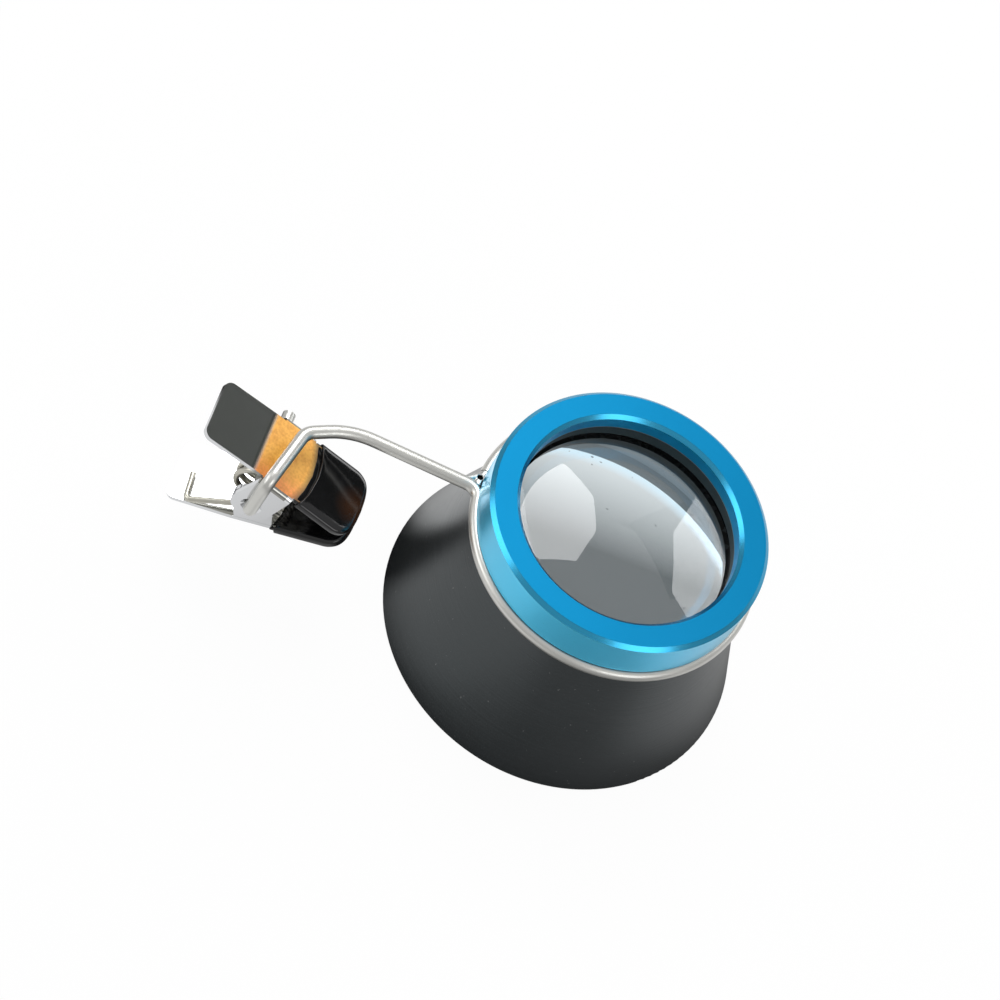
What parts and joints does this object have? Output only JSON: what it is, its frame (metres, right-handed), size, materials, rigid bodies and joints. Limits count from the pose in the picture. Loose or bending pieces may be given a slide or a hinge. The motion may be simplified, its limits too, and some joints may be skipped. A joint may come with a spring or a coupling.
{
  "type": "clip-on eyeglass loupe",
  "caption": "Clip-on eyeglass loupe: cone eyecup with a domed lens under a screwed bezel, carried by a swivelling wire arm with a sprung clip for a spectacle frame.",
  "frame": {"origin": "centre of the eyecup's open mouth, on the plane of its wide rim", "axes": "+Z along the optical axis from the mouth to the bezel; the arm and clip lie towards -X; the clip's pin runs along Y"},
  "size_m": [0.063, 0.0386, 0.0239],
  "materials": {
    "black_cone": "satin black anodised, turned",
    "blue_bezel": "blue anodised, fine turned",
    "black_trim": "matt black anodised",
    "lens_glass": "polished",
    "wire_steel": "drawn stainless wire",
    "clip_nickel": "nickel plated sheet",
    "dipped_black": "glossy dipped vinyl"
  },
  "bodies": {
    "loupe": {"eyecup": "black_cone", "bezel_ring": "blue_bezel", "lens_retainer": "black_trim", "lens": "lens_glass"},
    "arm": {"wire_arm": "wire_steel", "ring_solder": "wire_steel"},
    "upper_jaw": {"upper_clip_plate": "clip_nickel", "upper_jaw_sleeve": "dipped_black"},
    "lower_jaw": {"lower_clip_plate": "clip_nickel", "lower_jaw_sleeve": "dipped_black", "torsion_spring": "wire_steel"}
  },
  "joints": [
    {"name": "ring_turn", "type": "hinge", "parent": "loupe", "child": "arm", "pos_m": [0, 0, 0.01835], "axis": [0, 0, 1], "continuous": true},
    {"name": "arm_swing", "type": "hinge", "parent": "arm", "child": "upper_jaw", "pos_m": [-0.0354, -0.0057, 0.01195], "axis": [0, -1, 0], "range_deg": [-5, 20]},
    {"name": "jaw_open", "type": "hinge", "parent": "upper_jaw", "child": "lower_jaw", "pos_m": [-0.0354, -0.0057, 0.01195], "axis": [0, 1, 0], "range_deg": [0, 25], "stiffness_Nm_per_rad": 0.06, "springref_deg": -28.65, "deforming": ["torsion_spring"]}
  ]
}
